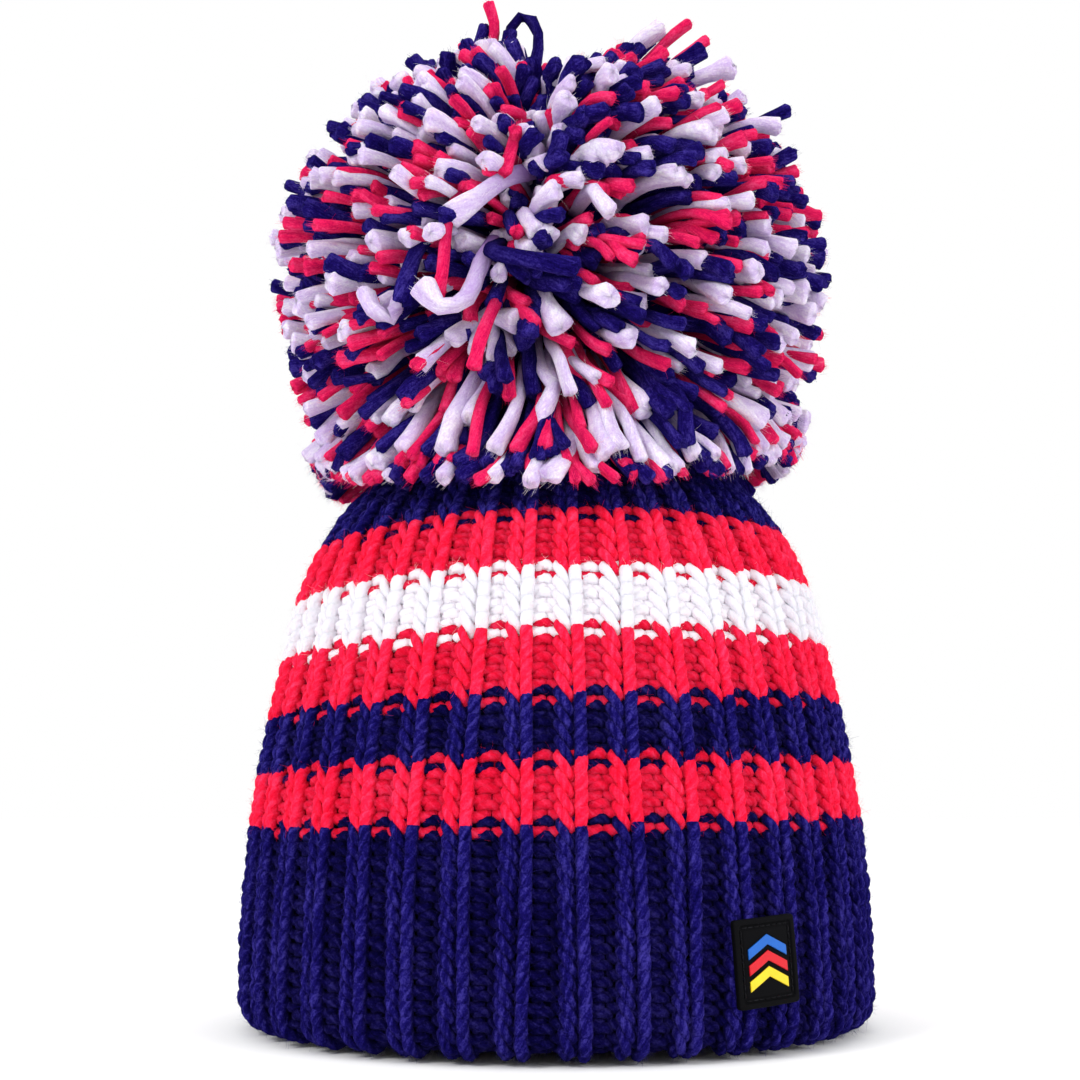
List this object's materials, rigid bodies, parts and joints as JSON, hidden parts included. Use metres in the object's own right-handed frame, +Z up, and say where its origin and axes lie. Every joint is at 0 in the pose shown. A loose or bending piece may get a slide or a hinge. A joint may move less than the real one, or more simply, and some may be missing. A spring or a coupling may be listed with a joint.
{
  "type": "pom pom beanie",
  "caption": "Ribbed knit beanie with colour stripes, fleece band inside, small sewn patch and a large cut-yarn pom pom tied on the crown.",
  "frame": {"origin": "centre of the hem's base, which the hat stands on", "axes": "+Z up through the crown and pom pom, -Y to the front, +X to the wearer's left"},
  "size_m": [0.1904, 0.1904, 0.308],
  "materials": {
    "navy_knit": "soft acrylic yarn, ribbed",
    "coral_knit": "soft acrylic yarn, ribbed",
    "white_knit": "soft acrylic yarn, ribbed",
    "navy_thread": "sewing thread",
    "fleece": "brushed fleece",
    "patch_rubber": "matte",
    "patch_blue": "satin",
    "patch_red": "satin",
    "patch_yellow": "satin",
    "black_thread": "sewing thread",
    "label_satin": "satin ribbon",
    "tie_cord": "twisted cord",
    "pom_navy": "cut bulky yarn",
    "pom_coral": "cut bulky yarn",
    "pom_white": "cut bulky yarn"
  },
  "bodies": {
    "hat": {"hem_band": "navy_knit", "stripe_coral_lower": "coral_knit", "stripe_navy": "navy_knit", "stripe_coral_middle": "coral_knit", "stripe_white": "white_knit", "stripe_coral_upper": "coral_knit", "crown": "navy_knit", "crown_drawstring": "navy_thread", "back_seam_thread": "navy_thread", "lining_band": "fleece", "lining_lower_stitches": "navy_thread", "lining_upper_stitches": "navy_thread", "lining_join_stitches": "navy_thread", "patch_base": "patch_rubber", "patch_chevron_blue": "patch_blue", "patch_chevron_red": "patch_red", "patch_chevron_yellow": "patch_yellow", "patch_stitches": "black_thread", "care_label_stitches": "navy_thread"},
    "tie_cord": {"tie_tails": "tie_cord", "tie_anchor_knot": "tie_cord"},
    "tie_knot": {"tie_knot": "tie_cord"},
    "pom_pom": {"tie_binding": "tie_cord", "pom_yarn_navy": "pom_navy", "pom_yarn_coral": "pom_coral", "pom_yarn_white": "pom_white"},
    "care_label": {"care_label": "label_satin"}
  },
  "joints": [
    {"name": "pom_nod", "type": "hinge", "parent": "hat", "child": "tie_cord", "pos_m": [0, 0, 0.183], "axis": [1, 0, 0], "range_deg": [-8, 8], "stiffness_Nm_per_rad": 1},
    {"name": "pom_sway", "type": "hinge", "parent": "tie_cord", "child": "tie_knot", "pos_m": [0, 0, 0.183], "axis": [0, 1, 0], "range_deg": [-8, 8], "stiffness_Nm_per_rad": 1},
    {"name": "pom_twist", "type": "hinge", "parent": "tie_knot", "child": "pom_pom", "pos_m": [0, 0, 0.226], "axis": [0, 0, 1], "range_deg": [-25, 25], "stiffness_Nm_per_rad": 0.1},
    {"name": "care_label_flap", "type": "hinge", "parent": "hat", "child": "care_label", "pos_m": [0, 0.0766, 0.1], "axis": [-1, 0, 0], "range_deg": [0, 70]}
  ]
}
